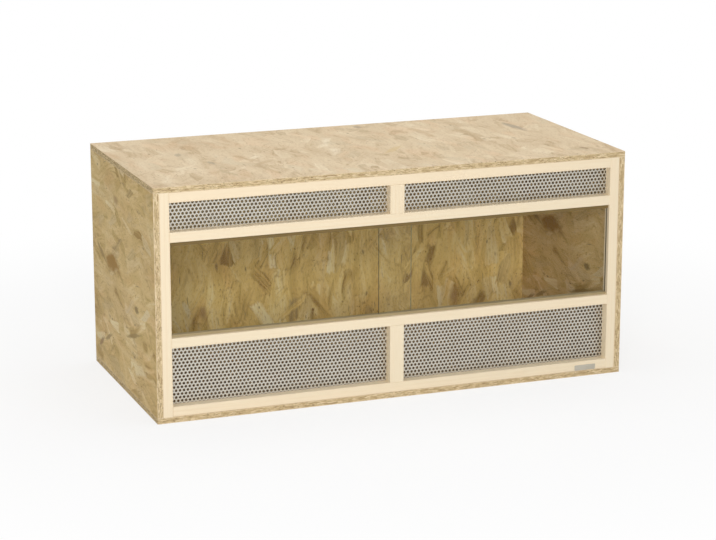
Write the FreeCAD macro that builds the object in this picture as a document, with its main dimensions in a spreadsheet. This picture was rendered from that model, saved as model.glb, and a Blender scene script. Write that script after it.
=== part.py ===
import FreeCAD, Part
import math
import os

import PartDesign
import Sketcher

# The wooden terrarium is a cabinet of strand board with a pine frame across its open front.
# The frame holds two bands of perforated vent sheet and, between them, a window closed by two
# glass doors that slide past each other in a pair of double plastic tracks.
# All sizes are millimetres. +Z is up, the front faces -Y, and the origin is the middle of the
# underside.

SIZES = {
    # Strand board carcass
    "cabinet_width": 1000,
    "cabinet_depth": 470,
    "cabinet_height": 470,
    "board_thickness": 12,
    # Pine battens of the front frame
    "batten_depth": 20,
    "stile_width": 20,
    "rail_height": 20,
    "muntin_width": 30,
    "arris": 0.8,
    "lower_vent_height": 118,
    "upper_vent_height": 58,
    # Double plastic tracks
    "track_setback": 7,
    "track_wall": 1.5,
    "track_web": 1.2,
    "channel_width": 4,
    "lower_track_height": 5,
    "upper_track_height": 8,
    # Glass doors
    "glass_thickness": 3,
    "glass_seam": 0.4,
    "door_lap": 72,
    "door_end_clearance": 1,
    "door_floor_clearance": 0.3,
    "door_lift_clearance": 0.4,
    # Perforated vent sheets and the staples that hold them
    "sheet_thickness": 1,
    "sheet_lap": 9,
    "hole_radius": 7.5,
    "hole_pitch": 24,
    "staple_crown": 12,
    "staple_leg": 8,
    "staple_wire": 1,
    "staple_inset": 40,
    "staple_clearance": 0.2,
    # Dowels between the battens
    "dowel_radius": 3,
    "dowel_length": 22,
    "dowel_clearance": 0.05,
    "dowel_end_clearance": 0.5,
    # Flat wooden biscuits between the boards
    "biscuit_length": 47,
    "biscuit_width": 15,
    "biscuit_thickness": 4,
    "biscuit_clearance": 0.1,
    "biscuit_end_clearance": 0.5,
    "side_biscuit_inset": 70,
    "back_biscuit_inset": 120,
    "upright_biscuit_inset": 110,
}

PLACES = {
    # Faces of the carcass
    "left_face": "=-Sizes.cabinet_width / 2",
    "front_face": "=-Sizes.cabinet_depth / 2",
    "inner_left": "=left_face + Sizes.board_thickness",
    "inner_width": "=Sizes.cabinet_width - 2 * Sizes.board_thickness",
    "wall_height": "=Sizes.cabinet_height - 2 * Sizes.board_thickness",
    "top_joint": "=Sizes.cabinet_height - Sizes.board_thickness",
    "back_joint": "=Sizes.cabinet_depth / 2 - Sizes.board_thickness",
    # Openings of the front frame
    "frame_width": "=inner_width - 2 * Sizes.stile_width",
    "frame_left": "=-frame_width / 2",
    "frame_back": "=front_face + Sizes.batten_depth",
    "vent_width": "=(frame_width - Sizes.muntin_width) / 2",
    "muntin_left": "=-Sizes.muntin_width / 2",
    "lower_vent_floor": "=Sizes.board_thickness + Sizes.rail_height",
    "lower_middle_floor": "=lower_vent_floor + Sizes.lower_vent_height",
    "window_floor": "=lower_middle_floor + Sizes.rail_height",
    "top_rail_floor": "=top_joint - Sizes.rail_height",
    "upper_vent_floor": "=top_rail_floor - Sizes.upper_vent_height",
    "upper_middle_floor": "=upper_vent_floor - Sizes.rail_height",
    # Tracks and doors
    "track_front": "=front_face + Sizes.track_setback",
    "track_depth": "=3 * Sizes.track_wall + 2 * Sizes.channel_width",
    "upper_track_floor": "=upper_middle_floor - Sizes.upper_track_height",
    "glass_play": "=(Sizes.channel_width - Sizes.glass_thickness) / 2",
    "front_glass": "=track_front + Sizes.track_wall + glass_play",
    "rear_glass": "=front_glass + Sizes.channel_width + Sizes.track_wall",
    "door_floor": "=window_floor + Sizes.track_web + Sizes.door_floor_clearance",
    "lifted_floor": "=window_floor + Sizes.lower_track_height + Sizes.door_lift_clearance",
    "lifted_top": "=upper_middle_floor - Sizes.track_web",
    "door_height": "=lifted_top - lifted_floor",
    "door_width": "=(frame_width + Sizes.door_lap) / 2 - Sizes.door_end_clearance",
    "left_door_left": "=frame_left + Sizes.door_end_clearance",
    "right_door_left": "=-frame_left - Sizes.door_end_clearance - door_width",
    # Vent sheets and staples
    "sheet_width": "=vent_width + 2 * Sizes.sheet_lap",
    "left_sheet_left": "=frame_left - Sizes.sheet_lap",
    "right_sheet_left": "=Sizes.muntin_width / 2 - Sizes.sheet_lap",
    "lower_sheet_floor": "=lower_vent_floor - Sizes.sheet_lap",
    "upper_sheet_floor": "=upper_vent_floor - Sizes.sheet_lap",
    "lower_sheet_height": "=Sizes.lower_vent_height + 2 * Sizes.sheet_lap",
    "upper_sheet_height": "=Sizes.upper_vent_height + 2 * Sizes.sheet_lap",
    "staple_seat": "=frame_back + Sizes.sheet_thickness",
    "leg_spread": "=(Sizes.staple_crown - Sizes.staple_wire) / 2",
    "leg_hole": "=Sizes.staple_wire / 2 + Sizes.staple_clearance",
    # Bores for the dowels and slots for the biscuits
    "bore_diameter": "=2 * (Sizes.dowel_radius + Sizes.dowel_clearance)",
    "bore_depth": "=Sizes.dowel_length / 2 + Sizes.dowel_end_clearance",
    "slot_width": "=Sizes.biscuit_thickness + 2 * Sizes.biscuit_clearance",
    "slot_reach": "=Sizes.biscuit_length / 2 + Sizes.biscuit_end_clearance",
    "slot_depth": "=Sizes.biscuit_width / 2 + Sizes.biscuit_end_clearance",
}

SIDE_BISCUITS = 3
BACK_BISCUITS = 3
UPRIGHT_BISCUITS = 2

# A biscuit's straight middle and its blunt tips, as shares of its half length and half width
SHOULDER_SHARE = 0.5
TIP_SHARE = 0.35

# The corners of a hexagonal hole, with flats above and below, as shares of its radius
CORNER_SHARES = [
    (math.cos(math.radians(60 * corner)), math.sin(math.radians(60 * corner)))
    for corner in range(6)
]

# The step from one row of holes to the next, as a share of the step from hole to hole
ROW_SHARE = math.sqrt(3) / 2

# Points closer than this share of a millimetre are taken as one
NEAR = 1e-6


def fill_sheet(doc, name, cells):
    """Writes one alias and one value or formula to each row of a new spreadsheet."""
    sheet = doc.addObject("Spreadsheet::Sheet", name)
    for row, (alias, content) in enumerate(cells.items(), start=1):
        sheet.set(f"A{row}", alias)
        sheet.set(f"B{row}", str(content))
        sheet.setAlias(f"B{row}", alias)
    doc.recompute()


def new_body(doc, label, x="0", y="0", z="0"):
    """Starts a piece whose own corner stands at the named place."""
    body = doc.addObject("PartDesign::Body", label)
    body.Label = label
    for axis, formula in zip("xyz", (x, y, z)):
        body.setExpression(f"Placement.Base.{axis}", formula)
    return body


def origin_plane(body, role):
    """Finds one of the piece's own origin planes."""
    return next(plane for plane in body.Origin.OriginFeatures if plane.Role == role)


def sketch_on(body, name, role, offset="0"):
    """Starts a sketch on an origin plane, raised along the plane's normal."""
    sketch = body.newObject("Sketcher::SketchObject", f"{body.Name}_{name}")
    sketch.AttachmentSupport = [(origin_plane(body, role), "")]
    sketch.MapMode = "FlatFace"
    sketch.setExpression("AttachmentOffset.Base.z", offset)
    return sketch


def held_point(sketch, geometry, point, x, y):
    """Pairs each constraint that holds one point with the formula of its length."""
    return [
        (Sketcher.Constraint(kind, -1, 1, geometry, point, sketch.evalExpression(formula)), formula)
        for kind, formula in (("DistanceX", x), ("DistanceY", y))
    ]


def constrain(sketch, pairs):
    """Adds constraints all at once, then binds each one that has a formula."""
    numbers = sketch.addConstraint([constraint for constraint, formula in pairs])
    for number, (constraint, formula) in zip(numbers, pairs):
        if formula:
            sketch.setExpression(f"Constraints[{number}]", formula)


def outline(sketch, corners):
    """Draws one closed outline of straight lines through corners given as formulas."""
    points = [
        FreeCAD.Vector(sketch.evalExpression(x), sketch.evalExpression(y), 0) for x, y in corners
    ]
    ends = zip(points, points[1:] + points[:1])
    lines = sketch.addGeometry([Part.LineSegment(start, end) for start, end in ends])
    pairs = []
    for line, following, (x, y) in zip(lines, lines[1:] + lines[:1], corners):
        pairs.append((Sketcher.Constraint("Coincident", line, 2, following, 1), None))
        pairs += held_point(sketch, line, 1, x, y)
    constrain(sketch, pairs)


def rectangle(left, bottom, right, top):
    """The four corners of an upright rectangle."""
    return [(left, bottom), (right, bottom), (right, top), (left, top)]


def circle(sketch, x, y, radius):
    """Draws one circle at a named place."""
    centre = FreeCAD.Vector(sketch.evalExpression(x), sketch.evalExpression(y), 0)
    size = sketch.evalExpression(radius)
    number = sketch.addGeometry(Part.Circle(centre, FreeCAD.Vector(0, 0, 1), size))
    limit = (Sketcher.Constraint("Radius", number, size), radius)
    constrain(sketch, held_point(sketch, number, 3, x, y) + [limit])


def pad(body, sketch, length, reverse=False, symmetric=False):
    """Raises a sketch to a solid."""
    feature = body.newObject("PartDesign::Pad", f"{sketch.Name}_pad")
    feature.Profile = sketch
    feature.setExpression("Length", length)
    feature.Reversed = reverse
    if symmetric:
        feature.SideType = "Symmetric"
    body.Document.recompute()
    return feature


def checked_cut(body, feature, before):
    """Stops the build if a cut took nothing away."""
    body.Document.recompute()
    if not feature.Shape.Volume < before:
        raise RuntimeError(f"{feature.Name} cuts nothing")
    return feature


def pocket(body, sketch, depth=None, symmetric=False):
    """Cuts a sketch into the piece, all the way through if no depth is given."""
    before = body.Tip.Shape.Volume
    feature = body.newObject("PartDesign::Pocket", f"{sketch.Name}_pocket")
    feature.Profile = sketch
    if depth is None:
        feature.Type = "ThroughAll"
        feature.SideType = "Symmetric"
    else:
        feature.setExpression("Length", depth)
    if symmetric:
        feature.SideType = "Symmetric"
    return checked_cut(body, feature, before)


def bores(body, name, role, offset, centres, reverse=False):
    """Drills blind dowel bores from a face of a batten."""
    sketch = sketch_on(body, name, role, offset)
    for x, y in centres:
        circle(sketch, x, y, "Sizes.dowel_radius")
    body.Document.recompute()
    before = body.Tip.Shape.Volume
    feature = body.newObject("PartDesign::Hole", f"{sketch.Name}_bore")
    feature.Profile = sketch
    feature.DepthType = "Dimension"
    feature.DrillPoint = "Flat"
    feature.Reversed = reverse
    feature.setExpression("Diameter", "Places.bore_diameter")
    feature.setExpression("Depth", "Places.bore_depth")
    return checked_cut(body, feature, before)


def ease_front_edges(body, axis):
    """Takes the sharpness off the two long edges on a batten's front."""
    base = body.Tip
    front = base.Shape.BoundBox.YMin
    along = FreeCAD.Vector(*axis)
    names = []
    for number, edge in enumerate(base.Shape.Edges, start=1):
        run = edge.lastVertex().Point - edge.firstVertex().Point
        if edge.BoundBox.YMax - front < NEAR and run.cross(along).Length < NEAR:
            names.append(f"Edge{number}")
    feature = body.newObject("PartDesign::Chamfer", f"{body.Name}_arris")
    feature.Base = (base, names)
    feature.setExpression("Size", "Sizes.arris")
    return checked_cut(body, feature, base.Shape.Volume)


def turned(corners, lengthwise):
    """Lays an outline along the sketch's second axis where its length runs that way."""
    return corners if lengthwise == "x" else [(across, along) for along, across in corners]


def slot_outlines(sketch, places, edge, inward, lengthwise="x"):
    """Draws the slots that hold half a biscuit each, from an edge of a board inwards."""
    spare = "Sizes.biscuit_end_clearance"
    tip = (f"({TIP_SHARE} * Sizes.biscuit_width / 2 + {spare})", "Places.slot_reach")
    shoulder = ("Places.slot_depth", f"({SHOULDER_SHARE} * Sizes.biscuit_length / 2 + {spare})")
    for place in places:
        left = [(f"{place} - {reach}", f"{edge} + {inward} * {depth}") for depth, reach in (tip, shoulder)]
        right = [(f"{place} + {reach}", f"{edge} + {inward} * {depth}") for depth, reach in (shoulder, tip)]
        mouth = [(f"{place} + Places.slot_reach", edge), (f"{place} - Places.slot_reach", edge)]
        outline(sketch, turned(mouth + left + right, lengthwise))


def biscuit_outlines(sketch, places, joint, lengthwise="x"):
    """Draws whole biscuits that lie across a joint."""
    for place in places:
        corners = []
        for along_sign, across_sign in ((1, 1), (-1, 1), (-1, -1), (1, -1)):
            shoulder = (SHOULDER_SHARE * along_sign, across_sign)
            tip = (along_sign, TIP_SHARE * across_sign)
            pair = (tip, shoulder) if along_sign == across_sign else (shoulder, tip)
            for along_share, across_share in pair:
                along = f"{place} + {along_share} * Sizes.biscuit_length / 2"
                across = f"{joint} + {across_share} * Sizes.biscuit_width / 2"
                corners.append((along, across))
        outline(sketch, turned(corners, lengthwise))


def spread(first, last, count):
    """Formulas of evenly spaced places from first to last."""
    return [f"({first} + ({last} - {first}) * {number / (count - 1)})" for number in range(count)]


def side_places():
    """Places of the biscuits along a side board, from the front."""
    last = "(Sizes.cabinet_depth - Sizes.side_biscuit_inset)"
    return spread("Sizes.side_biscuit_inset", last, SIDE_BISCUITS)


def back_places():
    """Places of the biscuits along the back board's long edges, from its left end."""
    last = "(Places.inner_width - Sizes.back_biscuit_inset)"
    return spread("Sizes.back_biscuit_inset", last, BACK_BISCUITS)


def upright_places():
    """Places of the biscuits up the back board's short edges, from its foot."""
    last = "(Places.wall_height - Sizes.upright_biscuit_inset)"
    return spread("Sizes.upright_biscuit_inset", last, UPRIGHT_BISCUITS)


def shifted(places, shift):
    """The same places measured from another corner."""
    return [f"{shift} + {place}" for place in places]


def flat_board(doc, label, floor, joint, inward):
    """The top or bottom board, slotted on its inner face for the boards that stand between."""
    body = new_body(doc, label, "Places.left_face", "Places.front_face", floor)
    blank = sketch_on(body, "blank", "XY_Plane")
    outline(blank, rectangle("0", "0", "Sizes.cabinet_width", "Sizes.cabinet_depth"))
    pad(body, blank, "Sizes.board_thickness")
    half_board = "Sizes.board_thickness / 2"
    for name, offset in (("left", half_board), ("right", f"Sizes.cabinet_width - {half_board}")):
        slots = sketch_on(body, f"{name}_slots", "YZ_Plane", offset)
        slot_outlines(slots, side_places(), joint, inward)
        pocket(body, slots, "Places.slot_width", symmetric=True)
    slots = sketch_on(body, "back_slots", "XZ_Plane", f"{half_board} - Sizes.cabinet_depth")
    places = shifted(back_places(), "Sizes.board_thickness")
    slot_outlines(slots, places, joint, inward)
    pocket(body, slots, "Places.slot_width", symmetric=True)
    return body


def side_board(doc, label, left, inner_face, inward):
    """A side board, slotted along its top, its foot and up its inner face at the back."""
    body = new_body(doc, label, left, "Places.front_face", "Sizes.board_thickness")
    blank = sketch_on(body, "blank", "YZ_Plane")
    outline(blank, rectangle("0", "0", "Sizes.cabinet_depth", "Places.wall_height"))
    pad(body, blank, "Sizes.board_thickness")
    slots = sketch_on(body, "edge_slots", "YZ_Plane", "Sizes.board_thickness / 2")
    slot_outlines(slots, side_places(), "0", 1)
    slot_outlines(slots, side_places(), "Places.wall_height", -1)
    pocket(body, slots, "Places.slot_width", symmetric=True)
    offset = "Sizes.board_thickness / 2 - Sizes.cabinet_depth"
    slots = sketch_on(body, "face_slots", "XZ_Plane", offset)
    slot_outlines(slots, upright_places(), inner_face, inward, lengthwise="z")
    pocket(body, slots, "Places.slot_width", symmetric=True)
    return body


def back_board(doc):
    """The back board, which stands between the sides, flush with their rear edges."""
    body = new_body(
        doc, "back_panel", "Places.inner_left", "Places.back_joint", "Sizes.board_thickness"
    )
    blank = sketch_on(body, "blank", "XZ_Plane")
    outline(blank, rectangle("0", "0", "Places.inner_width", "Places.wall_height"))
    pad(body, blank, "Sizes.board_thickness", reverse=True)
    slots = sketch_on(body, "slots", "XZ_Plane", "-Sizes.board_thickness / 2")
    slot_outlines(slots, back_places(), "0", 1)
    slot_outlines(slots, back_places(), "Places.wall_height", -1)
    slot_outlines(slots, upright_places(), "0", 1, lengthwise="z")
    slot_outlines(slots, upright_places(), "Places.inner_width", -1, lengthwise="z")
    pocket(body, slots, "Places.slot_width", symmetric=True)
    return body


def biscuits(doc):
    """All the wooden biscuits, each half in one board and half in the next."""
    body = new_body(doc, "panel_biscuits")
    middle = "Sizes.cabinet_width / 2 - Sizes.board_thickness / 2"
    for name, offset in (("left", f"-({middle})"), ("right", middle)):
        side = sketch_on(body, name, "YZ_Plane", offset)
        for joint in ("Sizes.board_thickness", "Places.top_joint"):
            biscuit_outlines(side, shifted(side_places(), "Places.front_face"), joint)
        pad(body, side, "Sizes.biscuit_thickness", symmetric=True)
    rear = sketch_on(body, "rear", "XZ_Plane", "Sizes.board_thickness / 2 - Sizes.cabinet_depth / 2")
    for joint in ("Sizes.board_thickness", "Places.top_joint"):
        biscuit_outlines(rear, shifted(back_places(), "Places.inner_left"), joint)
    for joint in ("Places.inner_left", "-Places.inner_left"):
        places = shifted(upright_places(), "Sizes.board_thickness")
        biscuit_outlines(rear, places, joint, lengthwise="z")
    pad(body, rear, "Sizes.biscuit_thickness", symmetric=True)
    return body


def stile(doc, label, left, inner_face, reverse):
    """An upright at one side of the frame, bored for the two middle rails."""
    body = new_body(doc, label, left, "Places.front_face", "Sizes.board_thickness")
    blank = sketch_on(body, "blank", "XY_Plane")
    outline(blank, rectangle("0", "0", "Sizes.stile_width", "Sizes.batten_depth"))
    pad(body, blank, "Places.wall_height")
    ease_front_edges(body, (0, 0, 1))
    middle = "Sizes.rail_height / 2 - Sizes.board_thickness"
    centres = [
        ("Sizes.batten_depth / 2", f"{floor} + {middle}")
        for floor in ("Places.lower_middle_floor", "Places.upper_middle_floor")
    ]
    bores(body, "rails", "YZ_Plane", inner_face, centres, reverse)
    return body


def rail(doc, label, floor, end_bores=False, top_bore=False, underside_bore=False):
    """A batten between the stiles, bored where dowels join it to them and to a muntin."""
    body = new_body(doc, label, "Places.frame_left", "Places.front_face", floor)
    blank = sketch_on(body, "blank", "YZ_Plane")
    outline(blank, rectangle("0", "0", "Sizes.batten_depth", "Sizes.rail_height"))
    pad(body, blank, "Places.frame_width")
    ease_front_edges(body, (1, 0, 0))
    if end_bores:
        centre = [("Sizes.batten_depth / 2", "Sizes.rail_height / 2")]
        bores(body, "left_end", "YZ_Plane", "0", centre, reverse=True)
        bores(body, "right_end", "YZ_Plane", "Places.frame_width", centre)
    centre = [("Places.frame_width / 2", "Sizes.batten_depth / 2")]
    if top_bore:
        bores(body, "top", "XY_Plane", "Sizes.rail_height", centre)
    if underside_bore:
        bores(body, "underside", "XY_Plane", "0", centre, reverse=True)
    return body


def muntin(doc, label, floor, height):
    """A short wide upright in the middle of a vent band, bored at both ends."""
    body = new_body(doc, label, "Places.muntin_left", "Places.front_face", floor)
    blank = sketch_on(body, "blank", "XY_Plane")
    outline(blank, rectangle("0", "0", "Sizes.muntin_width", "Sizes.batten_depth"))
    pad(body, blank, height)
    ease_front_edges(body, (0, 0, 1))
    centre = [("Sizes.muntin_width / 2", "Sizes.batten_depth / 2")]
    bores(body, "foot", "XY_Plane", "0", centre, reverse=True)
    bores(body, "head", "XY_Plane", height, centre)
    return body


def dowels(doc):
    """The dowels at the ends of the middle rails and of both muntins."""
    body = new_body(doc, "frame_dowels")
    middle = "Places.front_face + Sizes.batten_depth / 2"
    for name, joint in (("left", "Places.frame_left"), ("right", "-Places.frame_left")):
        sketch = sketch_on(body, name, "YZ_Plane", joint)
        for floor in ("Places.lower_middle_floor", "Places.upper_middle_floor"):
            circle(sketch, middle, f"{floor} + Sizes.rail_height / 2", "Sizes.dowel_radius")
        pad(body, sketch, "Sizes.dowel_length", symmetric=True)
    joints = ("lower_vent_floor", "lower_middle_floor", "upper_vent_floor", "top_rail_floor")
    for name in joints:
        sketch = sketch_on(body, name, "XY_Plane", f"Places.{name}")
        circle(sketch, "0", middle, "Sizes.dowel_radius")
        pad(body, sketch, "Sizes.dowel_length", symmetric=True)
    return body


def track(doc, label, floor, height, opens_up):
    """A plastic strip with two channels side by side, open upwards or downwards."""
    body = new_body(doc, label, "Places.frame_left", "Places.track_front", floor)
    lip, bed = (height, "Sizes.track_web") if opens_up else ("0", f"{height} - Sizes.track_web")
    back = "0" if opens_up else height
    near = "Sizes.track_wall"
    step = f"({near} + Sizes.channel_width)"
    corners = [("0", back), ("0", lip), (near, lip), (near, bed), (step, bed), (step, lip)]
    corners += [(f"Places.track_depth - {y}", z) for y, z in reversed(corners)]
    profile = sketch_on(body, "profile", "YZ_Plane")
    outline(profile, corners)
    pad(body, profile, "Places.frame_width")
    return body


def door(doc, label, left, glass_front):
    """A pane of glass whose edges are seamed all round."""
    body = new_body(doc, label, left, glass_front, "Places.door_floor")
    blank = sketch_on(body, "blank", "XZ_Plane")
    outline(blank, rectangle("0", "0", "Places.door_width", "Places.door_height"))
    plate = pad(body, blank, "Sizes.glass_thickness", reverse=True)
    faces = [
        f"Face{number}"
        for number, face in enumerate(plate.Shape.Faces, start=1)
        if round(abs(face.normalAt(0, 0).y)) == 1
    ]
    seam = body.newObject("PartDesign::Chamfer", f"{label}_seam")
    seam.Base = (plate, faces)
    seam.setExpression("Size", "Sizes.glass_seam")
    checked_cut(body, seam, plate.Shape.Volume)
    return body


def perforate(body, name, column, row, columns, rows):
    """Cuts one hole and repeats it in a grid, every second row of the staggered pattern."""
    sketch = sketch_on(body, name, "XZ_Plane")
    radius = "Sizes.hole_radius"
    outline(sketch, [(f"{column} + {radius} * {x}", f"{row} + {radius} * {z}") for x, z in CORNER_SHARES])
    hole = pocket(body, sketch)
    before = hole.Shape.Volume
    grid = body.newObject("PartDesign::LinearPattern", f"{sketch.Name}_grid")
    grid.Originals = [hole]
    grid.Refine = False
    grid.Direction = (sketch, ["H_Axis"])
    grid.Direction2 = (sketch, ["V_Axis"])
    grid.Mode = "Spacing"
    grid.Mode2 = "Spacing"
    grid.setExpression("Offset", "Sizes.hole_pitch")
    grid.setExpression("Offset2", f"2 * {ROW_SHARE} * Sizes.hole_pitch")
    grid.setExpression("Occurrences", columns)
    grid.setExpression("Occurrences2", rows)
    body.Tip = grid
    checked_cut(body, grid, before)


def staple_places():
    """Places of a vent sheet's staples along its width, from its left end."""
    last = "(Places.sheet_width - Sizes.staple_inset)"
    return ["Sizes.staple_inset", "Places.sheet_width / 2", last]


def vent_sheet(doc, label, left, floor, vent_height, sheet_height):
    """A perforated sheet that laps over the battens from behind."""
    body = new_body(doc, label, left, "Places.frame_back", floor)
    blank = sketch_on(body, "blank", "XZ_Plane")
    outline(blank, rectangle("0", "0", "Places.sheet_width", sheet_height))
    pad(body, blank, "Sizes.sheet_thickness", reverse=True)

    legs = sketch_on(body, "staple_holes", "XZ_Plane")
    for place in staple_places():
        for height in ("Sizes.sheet_lap / 2", f"{sheet_height} - Sizes.sheet_lap / 2"):
            for side in "-+":
                x = f"{place} {side} Places.leg_spread"
                half = "Places.leg_hole"
                corners = (f"{x} - {half}", f"{height} - {half}", f"{x} + {half}", f"{height} + {half}")
                outline(legs, rectangle(*corners))
    pocket(body, legs)

    row_pitch = f"({ROW_SHARE} * Sizes.hole_pitch)"
    steps = "floor((Places.vent_width - 2 * Sizes.hole_radius) / Sizes.hole_pitch)"
    climbs = f"floor(({vent_height} - 2 * {ROW_SHARE} * Sizes.hole_radius) / {row_pitch})"
    column = f"(Places.sheet_width - {steps} * Sizes.hole_pitch) / 2"
    row = f"({sheet_height} - {climbs} * {row_pitch}) / 2"
    perforate(body, "full_rows", column, row, f"{steps} + 1", f"floor({climbs} / 2) + 1")
    column = f"{column} + Sizes.hole_pitch / 2"
    row = f"{row} + {row_pitch}"
    perforate(body, "short_rows", column, row, steps, f"floor(({climbs} + 1) / 2)")
    return body


def staples(doc):
    """Wire staples over the sheets' upper and lower laps, driven into the rails."""
    body = new_body(doc, "grille_staples")
    half = "Sizes.staple_crown / 2"
    crown_back = "Places.staple_seat + Sizes.staple_wire"
    tip = f"{crown_back} - Sizes.staple_leg"
    lap = "Sizes.sheet_lap / 2"
    lines = {
        "lowest": f"Places.lower_vent_floor - {lap}",
        "lower": f"Places.lower_middle_floor + {lap}",
        "upper": f"Places.upper_vent_floor - {lap}",
        "highest": f"Places.top_rail_floor + {lap}",
    }
    for name, height in lines.items():
        sketch = sketch_on(body, name, "XY_Plane", height)
        for left in ("Places.left_sheet_left", "Places.right_sheet_left"):
            for place in shifted(staple_places(), left):
                outer = [(f"{place} {side} {half}", side) for side in "-+"]
                (x_left, _), (x_right, _) = outer
                inner_left = f"{x_left} + Sizes.staple_wire"
                inner_right = f"{x_right} - Sizes.staple_wire"
                seat = "Places.staple_seat"
                outline(sketch, [
                    (x_left, tip), (x_left, crown_back), (x_right, crown_back), (x_right, tip),
                    (inner_right, tip), (inner_right, seat), (inner_left, seat), (inner_left, tip),
                ])
        pad(body, sketch, "Sizes.staple_wire", symmetric=True)
    return body


def carcass(doc):
    """The five boards and the biscuits between them."""
    return [
        flat_board(doc, "bottom_panel", "0", "Sizes.board_thickness", -1),
        flat_board(doc, "top_panel", "Places.top_joint", "0", 1),
        side_board(doc, "left_side_panel", "Places.left_face", "Sizes.board_thickness", -1),
        side_board(doc, "right_side_panel", "-Places.inner_left", "0", 1),
        back_board(doc),
        biscuits(doc),
    ]


def front_frame(doc):
    """The eight battens and the dowels between them."""
    inner_right = "-Places.frame_left"
    return [
        stile(doc, "left_stile", "Places.inner_left", "Sizes.stile_width", False),
        stile(doc, "right_stile", inner_right, "0", True),
        rail(doc, "bottom_rail", "Sizes.board_thickness", top_bore=True),
        rail(doc, "lower_middle_rail", "Places.lower_middle_floor", True, underside_bore=True),
        rail(doc, "upper_middle_rail", "Places.upper_middle_floor", True, top_bore=True),
        rail(doc, "top_rail", "Places.top_rail_floor", underside_bore=True),
        muntin(doc, "lower_muntin", "Places.lower_vent_floor", "Sizes.lower_vent_height"),
        muntin(doc, "upper_muntin", "Places.upper_vent_floor", "Sizes.upper_vent_height"),
        dowels(doc),
    ]


def window(doc):
    """The two tracks and the two doors, the left one behind the right one."""
    return [
        track(doc, "lower_glass_track", "Places.window_floor", "Sizes.lower_track_height", True),
        track(doc, "upper_glass_track", "Places.upper_track_floor", "Sizes.upper_track_height", False),
        door(doc, "left_glass_door", "Places.left_door_left", "Places.rear_glass"),
        door(doc, "right_glass_door", "Places.right_door_left", "Places.front_glass"),
    ]


def vents(doc):
    """The four perforated sheets and their staples."""
    pieces = []
    for band in ("lower", "upper"):
        for hand in ("left", "right"):
            pieces.append(vent_sheet(
                doc,
                f"{band}_{hand}_grille",
                f"Places.{hand}_sheet_left",
                f"Places.{band}_sheet_floor",
                f"Sizes.{band}_vent_height",
                f"Places.{band}_sheet_height",
            ))
    pieces.append(staples(doc))
    return pieces


def check(doc, pieces):
    """Stops the build if any object failed or any piece has no valid shape."""
    for item in doc.Objects:
        if "Invalid" in item.State or "Error" in item.State:
            raise RuntimeError(f"{item.Name} failed: {item.State}")
    for piece in pieces:
        if piece.Shape.isNull() or not piece.Shape.isValid():
            raise RuntimeError(f"{piece.Label} has no valid shape")


def export(pieces):
    """Writes each piece to its own file and prints its size."""
    os.makedirs("parts", exist_ok=True)
    for piece in pieces:
        box = piece.Shape.BoundBox
        size = " x ".join(f"{length:.1f}" for length in (box.XLength, box.YLength, box.ZLength))
        print(f"{piece.Label}: {size} mm, {len(piece.Shape.Solids)} solid(s)")
        piece.Shape.exportStep(f"parts/{piece.Label}.step")


def main():
    doc = FreeCAD.newDocument("terrarium")
    fill_sheet(doc, "Sizes", SIZES)
    fill_sheet(doc, "Places", PLACES)
    pieces = carcass(doc) + front_frame(doc) + window(doc) + vents(doc)
    doc.recompute()
    check(doc, pieces)
    export(pieces)


main()
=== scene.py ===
"""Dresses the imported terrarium: strand-board cabinet, pine front, vents and sliding panes."""

import logging
import math
from dataclasses import dataclass
from enum import Enum
from typing import Any, Callable, Union

import bmesh
import bpy
from mathutils import Matrix, Vector


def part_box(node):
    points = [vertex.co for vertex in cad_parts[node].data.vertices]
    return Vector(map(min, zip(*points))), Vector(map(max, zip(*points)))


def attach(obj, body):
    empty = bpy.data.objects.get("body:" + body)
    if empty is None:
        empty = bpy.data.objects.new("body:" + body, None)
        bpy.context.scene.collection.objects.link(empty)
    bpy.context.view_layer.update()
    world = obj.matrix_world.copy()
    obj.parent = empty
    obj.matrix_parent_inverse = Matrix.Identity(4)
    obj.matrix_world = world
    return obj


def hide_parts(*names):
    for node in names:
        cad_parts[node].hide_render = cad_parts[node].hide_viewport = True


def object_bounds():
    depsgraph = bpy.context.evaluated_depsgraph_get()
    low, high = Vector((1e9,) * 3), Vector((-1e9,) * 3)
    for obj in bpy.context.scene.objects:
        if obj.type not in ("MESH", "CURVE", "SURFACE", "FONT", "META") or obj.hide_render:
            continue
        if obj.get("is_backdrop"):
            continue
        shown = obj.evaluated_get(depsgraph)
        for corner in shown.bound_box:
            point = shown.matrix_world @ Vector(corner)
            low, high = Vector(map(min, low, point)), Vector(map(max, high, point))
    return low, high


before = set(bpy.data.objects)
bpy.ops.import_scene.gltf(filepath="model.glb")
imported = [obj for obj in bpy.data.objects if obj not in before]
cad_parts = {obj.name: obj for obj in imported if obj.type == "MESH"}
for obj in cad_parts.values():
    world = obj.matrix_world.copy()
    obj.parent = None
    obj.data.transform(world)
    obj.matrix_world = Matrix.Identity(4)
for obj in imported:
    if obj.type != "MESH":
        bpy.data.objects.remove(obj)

LOG = logging.getLogger("terrarium")
CABINET = "cabinet"
Shape = bmesh.types.BMesh
Triple = tuple[float, float, float]
Colour = Triple
Tones = tuple[tuple[float, Colour], ...]
Term = Union["Signal", float]

WHITE = (1.0, 1.0, 1.0, 1.0)
# A face looks along an axis where its normal's part on that axis is above this.
FACING = 0.7


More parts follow.
